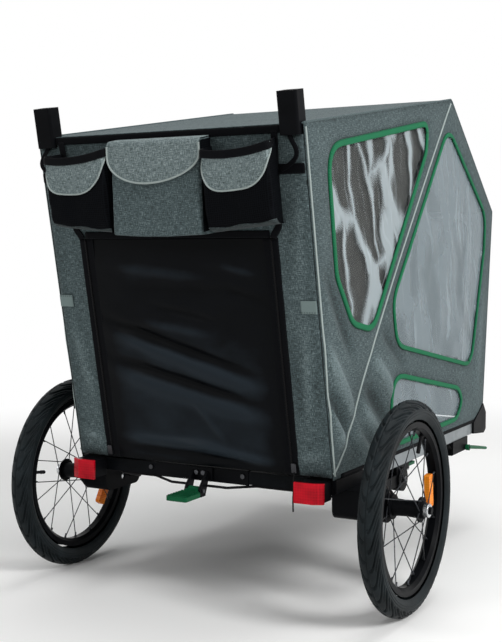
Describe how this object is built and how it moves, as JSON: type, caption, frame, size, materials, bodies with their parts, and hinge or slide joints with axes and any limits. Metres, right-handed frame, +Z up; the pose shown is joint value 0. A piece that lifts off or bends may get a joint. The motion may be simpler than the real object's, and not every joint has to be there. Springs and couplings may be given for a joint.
{
  "type": "dog bike trailer",
  "caption": "Two-wheeled dog bike trailer: a folding fabric cabin with clear side windows and a zipped rear door on a tube frame, with a foot brake and a hinged drawbar.",
  "frame": {"origin": "middle of the trailer's box, on the ground", "axes": "+X to the trailer's right, +Y forward towards the bicycle, +Z up"},
  "size_m": [0.857, 1.6276, 1.013],
  "materials": {
    "black_tube": "satin black",
    "grey_tube": "satin grey",
    "hoop_metal": "satin",
    "steel": "bright",
    "black_plastic": "fine matt",
    "green_plastic": "satin",
    "floor_plastic": "matt",
    "melange": "woven grey-green melange",
    "mat_fabric": "quilted",
    "black_fabric": "coated, slight sheen",
    "black_mesh": "mesh",
    "black_webbing": "woven tape",
    "clear_film": "clear film",
    "green_binding": "woven tape",
    "white_piping": "reflective",
    "red_lens": "prismatic red",
    "amber_lens": "prismatic amber",
    "tyre_rubber": "matt",
    "rim_black": "satin black",
    "cable_black": "sheath"
  },
  "bodies": {
    "base": {"cross_bars": "black_tube", "rear_bar_sleeve": "black_plastic", "side_rails": "grey_tube", "rear_corner_blocks": "black_plastic", "front_corner_caps": "black_plastic", "floor_board": "floor_plastic", "floor_mat": "mat_fabric", "axle_brackets": "black_plastic", "frame_bolts": "steel", "wheel_axles": "steel", "brake_bracket": "black_plastic", "brake_cables": "cable_black", "rear_lenses": "red_lens", "reflector_housings": "black_plastic", "side_cover_right": "melange", "side_cover_left": "melange", "front_panel": "melange", "window_films": "clear_film", "window_bindings": "green_binding", "piping": "white_piping", "drawbar_sockets": "black_plastic", "drawbar_stub": "black_tube", "cover_roof": "melange", "front_slope": "melange"},
    "rear_frame": {"rear_hoop": "hoop_metal", "rear_wall": "melange", "wall_zip_tapes": "black_webbing", "zip_sliders": "steel", "zip_pull_cord": "black_webbing", "side_pockets": "black_mesh", "centre_pocket": "black_fabric", "handle_sockets": "black_plastic"},
    "diagonal_frame": {"diagonal_hoop": "hoop_metal"},
    "front_frame": {"front_hoop": "hoop_metal"},
    "door": {"rear_door": "black_fabric", "door_zip_tapes": "black_webbing"},
    "flap": {"pocket_flap": "melange"},
    "pedal": {"brake_pedal": "green_plastic"},
    "drawbar": {"drawbar_arm": "black_tube"},
    "hitch": {"hitch_coupling": "steel"},
    "wheel_right": {"tyre_right": "tyre_rubber", "rim_right": "rim_black", "spokes_right": "steel", "hub_right": "black_plastic", "wheel_bearings_right": "steel", "wheel_reflectors_right": "amber_lens"},
    "button_right": {"release_button_right": "black_plastic"},
    "lock_pin_right": {"brake_pin_right": "steel"},
    "clamp_lever_right": {"socket_lever_right": "green_plastic"},
    "release_lever_right": {"bracket_lever_right": "green_plastic"},
    "wheel_left": {"tyre_left": "tyre_rubber", "rim_left": "rim_black", "spokes_left": "steel", "hub_left": "black_plastic", "wheel_bearings_left": "steel", "wheel_reflectors_left": "amber_lens"},
    "button_left": {"release_button_left": "black_plastic"},
    "lock_pin_left": {"brake_pin_left": "steel"},
    "clamp_lever_left": {"socket_lever_left": "green_plastic"},
    "release_lever_left": {"bracket_lever_left": "green_plastic"}
  },
  "joints": [
    {"name": "frame_fold", "type": "hinge", "parent": "base", "child": "rear_frame", "pos_m": [0, -0.63999, 0.286], "axis": [-1, 0, 0], "range_deg": [0, 95.45], "deforming": ["cover_roof", "front_panel"]},
    {"name": "diagonal_fold", "type": "hinge", "parent": "base", "child": "diagonal_frame", "pos_m": [0, -0.63999, 0.286], "axis": [-1, 0, 0], "range_deg": [0, 46.6]},
    {"name": "front_fold", "type": "hinge", "parent": "base", "child": "front_frame", "pos_m": [0, 0.2244, 0.28551], "axis": [1, 0, 0], "range_deg": [0, 95.65]},
    {"name": "door_roll", "type": "hinge", "parent": "rear_frame", "child": "door", "pos_m": [0, -0.73437, 0.7001], "axis": [1, 0, 0], "range_deg": [-80, 0]},
    {"name": "flap_hinge", "type": "hinge", "parent": "rear_frame", "child": "flap", "pos_m": [0, -0.77016, 0.87529], "axis": [1, 0, 0], "range_deg": [-88, 0]},
    {"name": "brake_pedal_tilt", "type": "hinge", "parent": "base", "child": "pedal", "pos_m": [0, -0.66417, 0.219], "axis": [1, 0, 0], "range_deg": [0, 22]},
    {"name": "drawbar_tilt", "type": "hinge", "parent": "base", "child": "drawbar", "pos_m": [-0.2685, 0.31983, 0.218], "axis": [1, 0, 0], "range_deg": [0, 42]},
    {"name": "hitch_swivel", "type": "hinge", "parent": "drawbar", "child": "hitch", "pos_m": [-0.1385, 0.79983, 0.014], "axis": [0, 0.9203, -0.3911], "range_deg": [-60, 60]},
    {"name": "wheel_spin_right", "type": "hinge", "parent": "base", "child": "wheel_right", "pos_m": [0.38, -0.53617, 0.2], "axis": [1, 0, 0], "continuous": true},
    {"name": "release_press_right", "type": "slide", "parent": "base", "child": "button_right", "axis": [-1, 0, 0], "range_m": [0, 0.0025], "stiffness_N_per_m": 900},
    {"name": "lock_pin_slide_right", "type": "slide", "parent": "base", "child": "lock_pin_right", "axis": [1, 0, 0], "range_m": [0, 0.007]},
    {"name": "clamp_lever_turn_right", "type": "hinge", "parent": "base", "child": "clamp_lever_right", "pos_m": [0.2685, 0.10183, 0.21], "axis": [1, 0, 0], "range_deg": [-75, 0]},
    {"name": "release_lever_turn_right", "type": "hinge", "parent": "base", "child": "release_lever_right", "pos_m": [0.267, -0.26417, 0.225], "axis": [1, 0, 0], "range_deg": [-50, 0]},
    {"name": "wheel_spin_left", "type": "hinge", "parent": "base", "child": "wheel_left", "pos_m": [-0.38, -0.53617, 0.2], "axis": [1, 0, 0], "continuous": true},
    {"name": "release_press_left", "type": "slide", "parent": "base", "child": "button_left", "axis": [1, 0, 0], "range_m": [0, 0.0025], "stiffness_N_per_m": 900},
    {"name": "lock_pin_slide_left", "type": "slide", "parent": "base", "child": "lock_pin_left", "axis": [-1, 0, 0], "range_m": [0, 0.007]},
    {"name": "clamp_lever_turn_left", "type": "hinge", "parent": "base", "child": "clamp_lever_left", "pos_m": [-0.2685, 0.10183, 0.21], "axis": [1, 0, 0], "range_deg": [-75, 0]},
    {"name": "release_lever_turn_left", "type": "hinge", "parent": "base", "child": "release_lever_left", "pos_m": [-0.267, -0.26417, 0.225], "axis": [1, 0, 0], "range_deg": [-50, 0]}
  ],
  "couplings": [
    {"joint": "diagonal_fold", "follows": "frame_fold", "ratio": 0.48817},
    {"joint": "front_fold", "follows": "frame_fold", "ratio": 1.0021},
    {"joint": "lock_pin_slide_right", "follows": "brake_pedal_tilt", "m_per_rad": 0.01823},
    {"joint": "lock_pin_slide_left", "follows": "brake_pedal_tilt", "m_per_rad": 0.01823}
  ]
}
